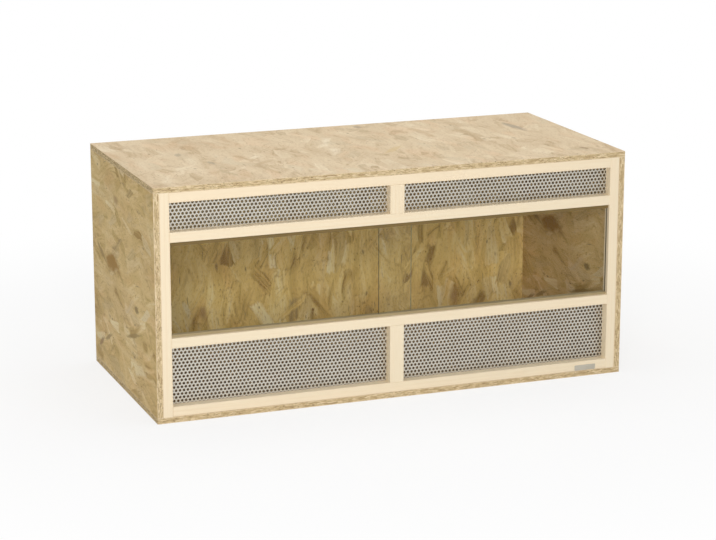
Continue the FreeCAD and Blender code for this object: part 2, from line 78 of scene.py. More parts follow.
class Signal:
    """One output of a material's nodes, ready for Python sums."""

    def __init__(self, sheet: "NodeSheet", socket: bpy.types.NodeSocket) -> None:
        """Keeps the socket and the sheet that new nodes go on.

        Args:
            sheet: the node tree that the socket belongs to.
            socket: the output that this signal stands for.
        """
        self.sheet = sheet
        self.socket = socket

    def maths(self, operation: str, *terms: Term) -> "Signal":
        """Adds one Math node and returns its result."""
        return self.sheet.add("ShaderNodeMath", {"operation": operation}, dict(enumerate(terms)))

    def __add__(self, other: Term) -> "Signal":
        """Returns self + other."""
        return self.maths("ADD", self, other)

    __radd__ = __add__

    def __sub__(self, other: Term) -> "Signal":
        """Returns self - other."""
        return self.maths("SUBTRACT", self, other)

    def __rsub__(self, other: Term) -> "Signal":
        """Returns other - self."""
        return self.maths("SUBTRACT", other, self)

    def __mul__(self, other: Term) -> "Signal":
        """Returns self * other."""
        return self.maths("MULTIPLY", self, other)

    __rmul__ = __mul__

    def __truediv__(self, other: Term) -> "Signal":
        """Returns self / other."""
        return self.maths("DIVIDE", self, other)

    def __pow__(self, other: Term) -> "Signal":
        """Returns self to the power of other."""
        return self.maths("POWER", self, other)

    def __abs__(self) -> "Signal":
        """Returns the size of the signal without its sign."""
        return self.maths("ABSOLUTE", self)

    def __gt__(self, other: Term) -> "Signal":
        """Returns 1 where the signal is above other, else 0."""
        return self.maths("GREATER_THAN", self, other)

    def __lt__(self, other: Term) -> "Signal":
        """Returns 1 where the signal is below other, else 0."""
        return self.maths("LESS_THAN", self, other)

    def least(self, other: Term) -> "Signal":
        """Returns the smaller of the two."""
        return self.maths("MINIMUM", self, other)

    def most(self, other: Term) -> "Signal":
        """Returns the larger of the two."""
        return self.maths("MAXIMUM", self, other)

    def fade(self, low: Term, high: Term, start: Term = 0.0, end: Term = 1.0) -> "Signal":
        """Returns a soft step of this signal.

        Args:
            low: the value at which the step starts.
            high: the value at which it ends.
            start: the result at low.
            end: the result at high.

        Returns:
            The step, held at its ends.
        """
        return self.sheet.add(
            "ShaderNodeMapRange",
            {"interpolation_type": "SMOOTHSTEP"},
            {"Value": self, "From Min": low, "From Max": high, "To Min": start, "To Max": end},
        )

    def other(self, name: str) -> "Signal":
        """Returns another output of the same node."""
        return Signal(self.sheet, self.socket.node.outputs[name])


class NodeSheet:
    """The node tree of one material, or of the surroundings."""

    def __init__(self, owner: bpy.types.Material | bpy.types.World) -> None:
        """Clears the owner's nodes.

        Args:
            owner: the material or the surroundings that the nodes belong to.
        """
        owner.use_nodes = True
        self.owner = owner
        self.tree = owner.node_tree
        self.tree.nodes.clear()

    @classmethod
    def material(cls, name: str) -> "NodeSheet":
        """Returns the empty sheet of a new material."""
        return cls(bpy.data.materials.new(name))

    def place(self) -> Signal:
        """Returns the coordinates of the object, in metres."""
        return self.add("ShaderNodeTexCoord", output="Object")

    def add(
        self,
        kind: str,
        settings: dict[str, Any] | None = None,
        inputs: dict[str | int, Any] | None = None,
        output: str | int = 0,
    ) -> Signal:
        """Adds one node.

        Args:
            kind: the node's type.
            settings: its settings, set first; "stops" gives a ramp's places and colours.
            inputs: a value or a signal for each socket, by name or number.
            output: the output that is returned.

        Returns:
            The chosen output.
        """
        node = self.tree.nodes.new(kind)
        for key, value in (settings or {}).items():
            if key == "stops":
                self._ramp(node.color_ramp, value)
            else:
                setattr(node, key, value)
        for key, value in (inputs or {}).items():
            if isinstance(value, Signal):
                self.tree.links.new(value.socket, node.inputs[key])
            else:
                node.inputs[key].default_value = value
        return Signal(self, node.outputs[output])

    @staticmethod
    def _ramp(ramp: bpy.types.ColorRamp, stops: Tones) -> None:
        """Sets a ramp's stops.

        Args:
            ramp: the ramp to fill.
            stops: places from 0 to 1, each with its colour.
        """
        while len(ramp.elements) < len(stops):
            ramp.elements.new(1.0)
        for element, (place, colour) in zip(ramp.elements, stops):
            element.position = place
            element.color = (*colour, 1.0)

    def split(self, vector: Signal) -> tuple[Signal, Signal, Signal]:
        """Returns the three parts of a vector."""
        parts = self.add("ShaderNodeSeparateXYZ", inputs={0: vector})
        return parts, parts.other("Y"), parts.other("Z")

    def join(self, x: Term, y: Term, z: Term = 0.0) -> Signal:
        """Returns a vector made of three numbers."""
        return self.add("ShaderNodeCombineXYZ", inputs={0: x, 1: y, 2: z})

    def vector(self, operation: str, *terms: Any, output: str | int = 0) -> Signal:
        """Adds one Vector Math node and returns its result."""
        settings = {"operation": operation}
        return self.add("ShaderNodeVectorMath", settings, dict(enumerate(terms)), output)

    def turned(self, vector: Signal, angle: Term) -> Signal:
        """Returns a vector turned in its plane by an angle in radians."""
        settings = {"rotation_type": "Z_AXIS"}
        return self.add("ShaderNodeVectorRotate", settings, {"Vector": vector, "Angle": angle})

    def length(self, vector: Signal) -> Signal:
        """Returns a vector's length."""
        return self.vector("LENGTH", vector, output="Value")

    def cells(self, place: Signal, randomness: float = 1.0) -> Signal:
        """Returns a flat pattern of uneven cells: the distance to the middle of each."""
        inputs = {"Vector": place, "Scale": 1.0, "Randomness": randomness}
        return self.add("ShaderNodeTexVoronoi", {"voronoi_dimensions": "2D"}, inputs)

    def tint(self, share: Term, first: Any, second: Any, blend: str = "MIX") -> Signal:
        """Mixes two colours.

        Args:
            share: how much of the second colour shows.
            first: the colour beneath, as a signal or a plain colour.
            second: the colour on top, as a signal or a plain colour.
            blend: the way the two are mixed.

        Returns:
            The mixed colour.
        """
        pair = [c if isinstance(c, Signal) else (*c, 1.0) for c in (first, second)]
        settings = {"data_type": "RGBA", "blend_type": blend}
        # The colours are the node's inputs 6 and 7, and its output 2.
        return self.add("ShaderNodeMix", settings, {0: share, 6: pair[0], 7: pair[1]}, 2)

    def ramp(self, value: Signal, stops: Tones) -> Signal:
        """Returns the colour that a ramp gives for a value."""
        return self.add("ShaderNodeValToRGB", {"stops": stops}, {0: value})

    def noise(self, place: Signal, scale: float, detail: float = 2.0, rough: float = 0.5) -> Signal:
        """Returns a cloudy noise around 0.5.

        Args:
            place: the coordinates that it reads.
            scale: cells to one unit of them.
            detail: octaves.
            rough: how strong the finer octaves are.

        Returns:
            The noise.
        """
        inputs = {"Vector": place, "Scale": scale, "Detail": detail, "Roughness": rough}
        return self.add("ShaderNodeTexNoise", inputs=inputs)

    def streaks(
        self, place: Signal, stretch: Triple, detail: float = 2.0, rough: float = 0.5
    ) -> Signal:
        """Returns a noise that is drawn out.

        Args:
            place: the coordinates that it reads.
            stretch: cells to one unit of them, along each axis.
            detail: octaves.
            rough: how strong the finer octaves are.

        Returns:
            The noise, around 0.5.
        """
        return self.noise(self.vector("MULTIPLY", place, stretch), 1.0, detail, rough)

    def sway(self, place: Signal, scale: float, detail: float, reach: Triple) -> Signal:
        """Returns a small move, here one way and there another.

        Args:
            place: the coordinates that choose the way.
            scale: cells of the sway to one unit of them.
            detail: octaves.
            reach: the move along each axis that the noise's whole range stands for.

        Returns:
            The move, as a vector around zero.
        """
        cloud = self.noise(place, scale, detail).other("Color")
        return self.vector("MULTIPLY", self.vector("SUBTRACT", cloud, (0.5, 0.5, 0.5)), reach)

    def satin(self, place: Signal, stretch: Triple) -> tuple[Signal, Signal, Signal]:
        """Makes the streaks of drawing or rolling, with faint clouds.

        Args:
            place: the coordinates that it reads.
            stretch: streaks to one unit of them, along each axis.

        Returns:
            The streaks, the tone and the gloss.
        """
        streaks = self.streaks(place, stretch)
        clouds = self.noise(place, 22.0, 3.0)
        tone = (streaks * 0.5 + clouds * 0.5).fade(0.36, 0.66)
        return streaks, tone, streaks * 0.6 + clouds * 0.4

    def relief(self, height: Signal, depth: float, strength: float = 0.5) -> Signal:
        """Returns a normal bent by a height.

        Args:
            height: the height as a share of depth.
            depth: metres that a height of 1 stands for.
            strength: how much of the bend is used.

        Returns:
            The bent normal.
        """
        inputs = {"Strength": strength, "Distance": depth, "Height": height}
        return self.add("ShaderNodeBump", inputs=inputs)

    def shader(self, kind: str, **sockets: Any) -> Signal:
        """Adds a shader, with underscores in socket names for spaces."""
        return self.add(kind, inputs={k.replace("_", " "): v for k, v in sockets.items()})

    def seen(self) -> Signal:
        """Returns 1 for what the camera sees, also by a reflection or through glass."""
        rays = self.add("ShaderNodeLightPath", output="Is Camera Ray")
        return rays.most(rays.other("Is Glossy Ray")).most(rays.other("Is Transmission Ray"))

    def finish(self, surface: Signal, output: str = "ShaderNodeOutputMaterial") -> Any:
        """Links the surface to a new output node and returns the sheet's owner."""
        node = self.tree.nodes.new(output)
        self.tree.links.new(surface.socket, node.inputs["Surface"])
        return self.owner

    def principled(self, **sockets: Any) -> Any:
        """Finishes the material with one Principled shader and returns it."""
        return self.finish(self.shader("ShaderNodeBsdfPrincipled", **sockets))


class BoardLayout(Enum):
    """The axes along the strands, across them and through a board."""

    FLAT = (1, 0, 2)
    SIDE = (1, 2, 0)
    BACK = (2, 0, 1)


class GrainAxis(Enum):
    """The axis that a batten's grain follows, by number."""

    WIDTH = 0
    HEIGHT = 2


@dataclass(frozen=True)
class StrandLayer:
    """One layer of strands, pressed over the layers before it.

    Sizes are in metres and angles in degrees. The pitches are the mean distances from strand to
    strand, cover is the share of places that hold one, and raised is how far they stand out.
    """

    turn: float
    long_pitch: float
    cross_pitch: float
    cover: float
    scatter: float
    raised: float = 0.0


@dataclass(frozen=True)
class Mark:
    """A knot or a fleck of bark at its own place on a board's face.

    Facing is 1 or -1, the way that the face looks along its axis. Sizes are in metres and the
    turn in degrees. The share is how much of the wood the mark covers.
    """

    facing: float
    along: float
    across: float
    length: float
    width: float
    turn: float = 0.0
    stain: Colour = (0.17, 0.115, 0.06)
    share: float = 0.7


@dataclass(frozen=True)
class Speckle:
    """Round spots of bark or knots, scattered over a board.

    The pitch is in spots to a metre, the rarity is the share of them that shows, and the radius
    is a share of their distance.
    """

    pitch: float
    rarity: float
    radius: float
    stain: Colour


@dataclass(frozen=True)
class WoodTints:
    """The colours that stains, fibres, gaps and pressing add to a board's own tones, with the
    painted shadow round strands and a tint for edges that face along x.
    """

    blotch: Colour = (0.60, 0.48, 0.32)
    blush: Colour = (1.0, 0.94, 0.90)
    fleck: Colour = (0.62, 0.50, 0.36)
    speck: Colour = (0.42, 0.28, 0.14)
    vein: Colour = (0.62, 0.48, 0.31)
    dull_strand: Colour = (0.51, 0.43, 0.28)
    # Painted shadow round the edges of strands.
    strand_edge_shadow: Colour = (0.50, 0.36, 0.21)
    split: Colour = (0.26, 0.165, 0.075)
    gap: Colour = (0.15, 0.095, 0.04)
    crushed: Colour = (0.76, 0.615, 0.415)
    x_facing_tint: Colour = (0.98, 0.95, 0.83)


@dataclass(frozen=True)
class StrandBoard:
    """Raw strand board: pressed wood strands, each with its own tone, turn and grain.

    Along the axis through them, one board or a pair of them lie at a distance of offset from
    the middle, and each is twice half thick. The strands of a far face are read
    far_face_shift metres further on, and a height of 1 stands depth metres proud.
    """

    layout: BoardLayout
    seed: float
    contrast: float
    tones: Tones
    middle: float
    offset: float
    half: float
    marks: tuple[Mark, ...] = ()
    layers: tuple[StrandLayer, ...] = (
        StrandLayer(6.0, 0.170, 0.054, 0.80, 24.0),
        StrandLayer(-17.0, 0.150, 0.048, 0.75, 34.0),
        StrandLayer(12.0, 0.160, 0.044, 0.72, 26.0),
        StrandLayer(28.0, 0.125, 0.042, 0.60, 40.0),
        StrandLayer(-8.0, 0.150, 0.038, 0.62, 24.0),
        StrandLayer(-34.0, 0.110, 0.034, 0.42, 50.0, 0.2),
        StrandLayer(3.0, 0.120, 0.027, 0.45, 64.0, 0.2),
    )
    edge_tones: Tones = (
        (0.0, (0.23, 0.143, 0.058)),
        (0.25, (0.39, 0.273, 0.134)),
        (0.55, (0.54, 0.405, 0.218)),
        (0.85, (0.69, 0.545, 0.330)),
        (1.0, (0.81, 0.685, 0.460)),
    )
    speckles: tuple[Speckle, ...] = (
        Speckle(26.0, 0.20, 0.13, (0.22, 0.13, 0.05)),
        Speckle(7.0, 0.40, 0.09, (0.36, 0.21, 0.075)),
    )
    tints: WoodTints = WoodTints()
    far_face_shift: float = 3.7
    depth: float = 0.0006

    def make(self) -> bpy.types.Material:
        """Makes the board's material.

        Returns:
            The material, with strands on the faces and pressed layers on the edges.
        """
        sheet = NodeSheet.material(f"strands_{self.layout.name.lower()}")
        place = sheet.place()
        axes = sheet.split(place)
        facing = sheet.split(place.other("Normal"))
        along, across, through = (axes[n] for n in self.layout.value)
        outward = facing[self.layout.value[2]]
        on_face = abs(outward) > FACING
        # Each face and each seed gets other strands.
        shifted = along + (outward > 0.0) * self.far_face_shift
        flat = sheet.join(shifted, across + self.seed * 1.37, self.seed)
        face_colour, face_height, face_gloss = self._face(sheet, flat)
        for mark in self.marks:
            shown = (outward * mark.facing) > FACING
            face_colour = self._mark(sheet, along, across, mark, face_colour, shown)
        level = abs(through - self.middle) - self.offset
        edge_colour, edge_height = self._edge(sheet, along + across, level)
        # Edges that face along x are tinted warmer and a little darker than the other edges.
        faces_x = abs(facing[0]) > FACING
        edge_colour = sheet.tint(faces_x, edge_colour, self.tints.x_facing_tint, "MULTIPLY")
        colour = sheet.tint(on_face, edge_colour, face_colour)
        height = edge_height + on_face * (face_height - edge_height)
        return sheet.principled(
            Base_Color=colour,
            Roughness=face_gloss,
            Normal=sheet.relief(height, self.depth),
            Specular_IOR_Level=0.3,
        )

    def _face(self, sheet: NodeSheet, flat: Signal) -> tuple[Signal, Signal, Signal]:
        """Lays the strands over each other.

        Args:
            sheet: the node tree.
            flat: the coordinates on the board, in metres, along the strands and across them.

        Returns:
            The colour, the height and the roughness.
        """
        tints = self.tints
        bent = sheet.vector("ADD", flat, sheet.sway(flat, 9.0, 1.0, (0.030, 0.030, 0.0)))
        bent = sheet.vector("ADD", bent, sheet.sway(flat, 70.0, 2.0, (0.007, 0.0035, 0.0)))
        zone = sheet.streaks(bent, (6.0, 30.0, 1.0)) - 0.5
        shadow_patches = sheet.noise(flat, 24.0, 2.0).fade(0.46, 0.64)
        colour: Any = sheet.ramp(zone * self.contrast + 0.5, self.tones)
        height: Any = 0.0
        for layer in self.layers:
            colour, cover = self._strands(sheet, bent, layer, colour, shadow_patches, zone)
            if layer.raised:
                height = height + cover * layer.raised
        blotch = sheet.noise(flat, 7.0, 2.0)
        stained = blotch.fade(0.42, 0.68, 0.0, 0.22 * self.contrast)
        colour = sheet.tint(stained, colour, tints.blotch, "MULTIPLY")
        warm = sheet.streaks(bent, (9.0, 22.0, 1.0), 1.0).fade(0.5, 0.7, 0.0, 0.8)
        colour = sheet.tint(warm, colour, tints.blush, "MULTIPLY")
        fleck = sheet.streaks(bent, (110.0, 260.0, 1.0), 2.0, 0.6)
        dark = fleck.fade(0.50, 0.72, 0.0, 0.5 * self.contrast)
        colour = sheet.tint(dark, colour, tints.fleck, "MULTIPLY")
        cluster = sheet.noise(flat, 13.0, 2.0).fade(0.52, 0.62)
        speck = sheet.streaks(bent, (120.0, 190.0, 1.0), 1.0).fade(0.64, 0.72) * cluster
        colour = sheet.tint(speck * 0.7 * self.contrast, colour, tints.speck, "MULTIPLY")
        colour, height = self._knots(sheet, bent, colour, height)
        fuzz = sheet.noise(sheet.vector("MULTIPLY", flat, (1.0, 4.0, 1.0)), 420.0, 3.0)
        gloss = fuzz.fade(0.3, 0.7, 0.52, 0.74)
        return colour, height + fuzz * 0.10 - speck * 0.2, gloss

    def _strands(
        self,
        sheet: NodeSheet,
        bent: Signal,
        layer: StrandLayer,
        below: Any,
        shadow_patches: Signal,
        zone: Signal,
    ) -> tuple[Signal, Signal]:
        """Lays one layer of strands over what is there.

        Args:
            sheet: the node tree.
            bent: the coordinates on the board, in metres.
            layer: the layer's sizes.
            below: the colour so far.
            shadow_patches: where the painted shadows round the strands show.
            zone: the slow change of tone from place to place.

        Returns:
            The new colour, and where this layer covers the others.
        """
        pitches = (layer.long_pitch, layer.cross_pitch, 1.0)
        grid = sheet.vector("DIVIDE", sheet.turned(bent, math.radians(layer.turn)), pitches)
        cell = sheet.cells(grid, 0.8)
        chance, shade, tilt = sheet.split(cell.other("Color"))
        arm = sheet.vector(
            "MULTIPLY", sheet.vector("SUBTRACT", grid, cell.other("Position")), pitches
        )
        own = sheet.turned(arm, (tilt - 0.5) * math.radians(layer.scatter))
        reach, side, _ = sheet.split(own)
        lines = sheet.join(reach * 8.0 + shade * 31.0, side * 130.0, tilt * 17.0)
        grain = sheet.noise(lines, 1.0, 3.0, 0.6)
        odd = chance * (1.0 / layer.cover) - 0.5
        swing = odd * odd * odd * 3.4 + (grain - 0.5) * 1.15 + zone * 0.85
        strand = sheet.ramp(swing * self.contrast + 0.5, self.tones)
        vein = grain.fade(0.56, 0.74, 0.0, 0.6 * self.contrast) * shade
        strand = sheet.tint(vein, strand, self.tints.vein, "MULTIPLY")
        dull = tilt.fade(0.88, 0.93, 0.0, 0.22)
        strand = sheet.tint(dull, strand, self.tints.dull_strand)
        half_length = layer.long_pitch * (0.27 + 0.15 * shade)
        half_width = layer.cross_pitch * (0.24 + 0.16 * tilt)
        taper = reach * (shade - 0.5) * 0.30
        ragged = (grain - 0.5) * 0.010
        lip = (half_length - abs(reach) + ragged * 2.5).least(
            half_width - abs(side) + ragged + taper
        )
        held = chance < layer.cover
        mask = lip.fade(-0.0008, shade * 0.011 + 0.0015) * held
        # Painted shadow: just outside each strand the layer below is darkened, as if the strand's
        # edge cast it.
        rim = lip.fade(-0.0026, 0.0, 0.0, 0.30 * self.contrast) * held * (1.0 - mask) * shadow_patches
        below = sheet.tint(rim, below, self.tints.strand_edge_shadow, "MULTIPLY")
        return sheet.tint(mask, below, strand), mask

    def _knots(
        self, sheet: NodeSheet, bent: Signal, colour: Signal, height: Signal
    ) -> tuple[Signal, Signal]:
        """Adds bark specks, small knots and splits.

        Args:
            sheet: the node tree.
            bent: the coordinates on the board, in metres.
            colour: the colour so far.
            height: the height so far.

        Returns:
            The new colour and height.
        """
        depth: Any = 0.0
        for kind in self.speckles:
            pitches = (0.45 * kind.pitch, kind.pitch, 1.0)
            spots = sheet.cells(sheet.vector("MULTIPLY", bent, pitches))
            chance, size, _ = sheet.split(spots.other("Color"))
            reach = spots / (size * 0.7 + 0.3)
            speck = reach.fade(kind.radius * 0.2, kind.radius, 1.0, 0.0) * (chance < kind.rarity)
            colour = sheet.tint(speck * min(0.7 * self.contrast, 0.75), colour, kind.stain)
            depth = depth + speck * 0.4
        split = sheet.streaks(bent, (22.0, 210.0, 1.0)).fade(0.67, 0.76)
        colour = sheet.tint(split * 0.6 * self.contrast, colour, self.tints.split)
        return colour, height - depth - split * 0.5

    @staticmethod
    def _mark(
        sheet: NodeSheet,
        along: Signal,
        across: Signal,
        mark: Mark,
        colour: Signal,
        shown: Signal,
    ) -> Signal:
        """Stains one mark into the face that it is on.

        Args:
            sheet: the node tree.
            along: the coordinate along the strands, in metres.
            across: the coordinate across them.
            mark: the mark's place, size and stain.
            colour: the colour so far.
            shown: 1 on the mark's own face.

        Returns:
            The new colour.
        """
        arm = sheet.join(along - mark.along, across - mark.across)
        own = sheet.turned(arm, math.radians(-mark.turn))
        size = (mark.length / 2.0, mark.width / 2.0, 1.0)
        distance = sheet.length(sheet.vector("DIVIDE", own, size))
        ragged = sheet.noise(sheet.vector("DIVIDE", own, size), 1.6, 3.0)
        ring = distance + (ragged - 0.5) * 1.2
        return sheet.tint(ring.fade(0.5, 1.1, mark.share, 0.0) * shown, colour, mark.stain)

    def _edge(self, sheet: NodeSheet, along: Signal, through: Signal) -> tuple[Signal, Signal]:
        """Shows the sawn edge: thin pressed layers, end grain, dark gaps and pale crushed corners.

        Args:
            sheet: the node tree.
            along: the coordinate along the edge, in metres.
            through: the distance from the middle of the board's thickness.

        Returns:
            The colour and the height.
        """
        sway = sheet.noise(sheet.join(along, through, self.seed), 26.0, 2.0)
        level = through + (sway - 0.5) * 0.0035
        cell = sheet.cells(sheet.join(along * 130.0, level * 640.0, self.seed))
        chance, shade, _ = sheet.split(cell.other("Color"))
        fibre = sheet.noise(sheet.join(along * 80.0, level * 1500.0, shade * 9.0), 1.0, 2.0)
        tone = chance * 0.62 + (fibre - 0.5) * 0.9 + 0.27
        colour = sheet.ramp(tone, self.edge_tones)
        gaps = sheet.noise(sheet.join(along * 230.0, level * 560.0, 3.1 + self.seed), 1.0, 2.0)
        rough = sheet.noise(sheet.join(along, 0.0, self.seed), 14.0, 2.0).fade(0.35, 0.65, 0.3, 1.0)
        gap = gaps.fade(0.57, 0.66) * rough
        colour = sheet.tint(gap * 0.85, colour, self.tints.gap)
        corner = (self.half - abs(through)).fade(0.0004, 0.0024, 0.55, 0.0) * (1.0 - gap)
        colour = sheet.tint(corner, colour, self.tints.crushed)
        return colour, chance * 0.2 + fibre * 0.2 - gap * 0.5


@dataclass(frozen=True)
class PlanedPine:
    """Pale planed softwood with fine straight grain along a batten."""

    name: str
    axis: GrainAxis
    seed: float
    pale: Colour = (0.83, 0.715, 0.522)
    line: Colour = (0.76, 0.600, 0.385)
    honey: Colour = (0.88, 0.69, 0.47)

    def make(self) -> bpy.types.Material:
        """Makes the batten's material.

        Returns:
            The material.
        """
        sheet = NodeSheet.material(self.name)
        place = sheet.place()
        drift = (self.seed * 3.1, self.seed * 5.7, self.seed * 1.9)
        run = sheet.vector("ADD", sheet.vector("MULTIPLY", place, self._drawn(34.0, 1.6)), drift)
        bow = sheet.noise(run, 0.8, 2.0)
        rings = sheet.add(
            "ShaderNodeTexWave",
            {"bands_direction": "Z" if self.axis is GrainAxis.WIDTH else "X"},
            {"Vector": run, "Scale": 1.1, "Distortion": 7.0, "Detail": 2.0, "Detail Scale": 0.6},
            "Fac",
        )
        fibre = sheet.streaks(place, self._drawn(900.0, 26.0), 2.0, 0.6)
        latewood = rings.fade(0.5, 1.0) * bow.fade(0.35, 0.7)
        colour = sheet.tint(latewood * 0.32, self.pale, self.line)
        colour = sheet.tint(fibre.fade(0.45, 0.8, 0.0, 0.45), colour, self.line)
        warm = sheet.noise(run, 0.32, 1.0).fade(0.4, 0.7, 0.0, 0.35)
        colour = sheet.tint(warm, colour, self.honey)
        return sheet.principled(
            Base_Color=colour,
            Roughness=fibre.fade(0.2, 0.8, 0.42, 0.6),
            Normal=sheet.relief(fibre * 0.5 - latewood * 0.5, 0.00012, 0.6),
            IOR=1.45,
        )

    def _drawn(self, across: float, along: float) -> Triple:
        """Returns cells to a metre for each axis, fewer along the grain."""
        return tuple(along if axis == self.axis.value else across for axis in range(3))


@dataclass(frozen=True)
class PressedBeech:
    """Fine, short-grained beech of biscuits and dowels."""

    name: str = "beech"
    base: Colour = (0.62, 0.40, 0.24)
    fleck: Colour = (0.42, 0.25, 0.13)

    def make(self) -> bpy.types.Material:
        """Makes the material with its short dark flecks."""
        sheet = NodeSheet.material(self.name)
        place = sheet.place()
        flecks = sheet.streaks(place, (180.0, 900.0, 900.0))
        colour = sheet.tint(flecks.fade(0.52, 0.68, 0.0, 0.8), self.base, self.fleck)
        return sheet.principled(
            Base_Color=colour,
            Roughness=flecks.fade(0.3, 0.7, 0.5, 0.65),
            Normal=sheet.relief(flecks, 0.0001),
        )


@dataclass(frozen=True)
class Smooth:
    """A satin material with fine streaks from drawing or rolling, metal or plastic."""

    name: str
    base: Colour
    worn: Colour
    stretch: Triple
    roughness: tuple[float, float]
    metallic: float
    depth: float = 0.00004
    gleam: float = 0.5

    def make(self) -> bpy.types.Material:
        """Makes the material with its streaks and faint cloudiness."""
        sheet = NodeSheet.material(self.name)
        place = sheet.place()
        streaks, tone, gloss = sheet.satin(place, self.stretch)
        return sheet.principled(
            Base_Color=sheet.tint(tone, self.base, self.worn),
            Metallic=self.metallic,
            Specular_IOR_Level=self.gleam,
            Roughness=gloss.fade(0.3, 0.7, *self.roughness),
            Normal=sheet.relief(streaks, self.depth),
        )


@dataclass(frozen=True)
class ClearPane:
    """Clear float glass with ground edges.

    Straight is the share of light that real glass throws back where it is looked at straight
    on, and gleam is how much of the real reflection the faces keep.
    """

    name: str
    ground: Colour = (0.026, 0.024, 0.012)
    chipped: Colour = (0.065, 0.060, 0.034)
    body: Colour = (0.995, 1.0, 0.993)
    straight: float = 0.04
    gleam: float = 0.18

    def make(self) -> bpy.types.Material:
        """Makes the material of faces and edges."""
        sheet = NodeSheet.material(self.name)
        place = sheet.place()
        _, front, _ = sheet.split(place.other("Normal"))
        smear = sheet.noise(place, 14.0, 3.0)
        clear = sheet.shader("ShaderNodeBsdfTransparent", Color=(*self.body, 1.0))
        mirror = sheet.shader("ShaderNodeBsdfGlossy", Color=WHITE, Roughness=0.03)
        slant = sheet.add("ShaderNodeLayerWeight", inputs={"Blend": 0.5}, output="Facing")
        bounce = slant**5.0 * (1.0 - self.straight) + self.straight
        share = bounce * smear.fade(0.3, 0.7, self.gleam * 0.8, self.gleam * 1.2)
        face = sheet.add("ShaderNodeMixShader", inputs={0: share, 1: clear, 2: mirror})
        frost = sheet.noise(place, 900.0, 2.0)
        edge = sheet.shader(
            "ShaderNodeBsdfPrincipled",
            Base_Color=sheet.tint(frost, self.ground, self.chipped),
            Roughness=frost.fade(0.3, 0.7, 0.2, 0.38),
            Normal=sheet.relief(frost, 0.00005),
        )
        rim = abs(front) < 0.9
        return sheet.finish(sheet.add("ShaderNodeMixShader", inputs={0: rim, 1: face, 2: edge}))


def give(material: bpy.types.Material, *names: str) -> None:
    """Gives a material to CAD nodes.

    Args:
        material: the material.
        names: the nodes' names.
    """
    for name in names:
        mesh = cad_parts[name].data
        mesh.materials.clear()
        mesh.materials.append(material)
        LOG.info("dressed %s with %s", name, material.name)


def new_piece(name: str, shape: Shape, material: bpy.types.Material) -> bpy.types.Object:
    """Turns a bmesh into an object at the origin.

    Args:
        name: the piece's name.
        shape: its mesh, with its place in it.
        material: its material.

    Returns:
        The object.
    """
    bmesh.ops.recalc_face_normals(shape, faces=shape.faces)
    mesh = bpy.data.meshes.new(name)
    shape.to_mesh(mesh)
    shape.free()
    mesh.materials.append(material)
    piece = bpy.data.objects.new(name, mesh)
    bpy.context.scene.collection.objects.link(piece)
    LOG.info("made %s with %d faces", name, len(mesh.polygons))
    return piece


def whole(shape: Shape) -> list[Any]:
    """Returns all points, edges and faces of a mesh."""
    return shape.verts[:] + shape.edges[:] + shape.faces[:]


def stand_up(shape: Shape, x: float, rear: float, z: float) -> None:
    """Turns a flat shape upright and moves it into its place.

    Args:
        shape: the mesh, which lies on the floor with its top to the rear.
        x: how far it moves to the right.
        rear: where its rear face ends up.
        z: how far it moves up.
    """
    upright = Matrix.Rotation(math.radians(90.0), 3, "X")
    bmesh.ops.rotate(shape, matrix=upright, verts=shape.verts)
    rearmost = max(vertex.co.y for vertex in shape.verts)
    bmesh.ops.translate(shape, vec=(x, rear - rearmost, z), verts=shape.verts)


@dataclass(frozen=True)
class BoardStock:
    """The boards that are cut from one sheet, and the looks of that sheet."""

    names: tuple[str, ...]
    layout: BoardLayout
    contrast: float
    tones: Tones
    marks: tuple[Mark, ...] = ()


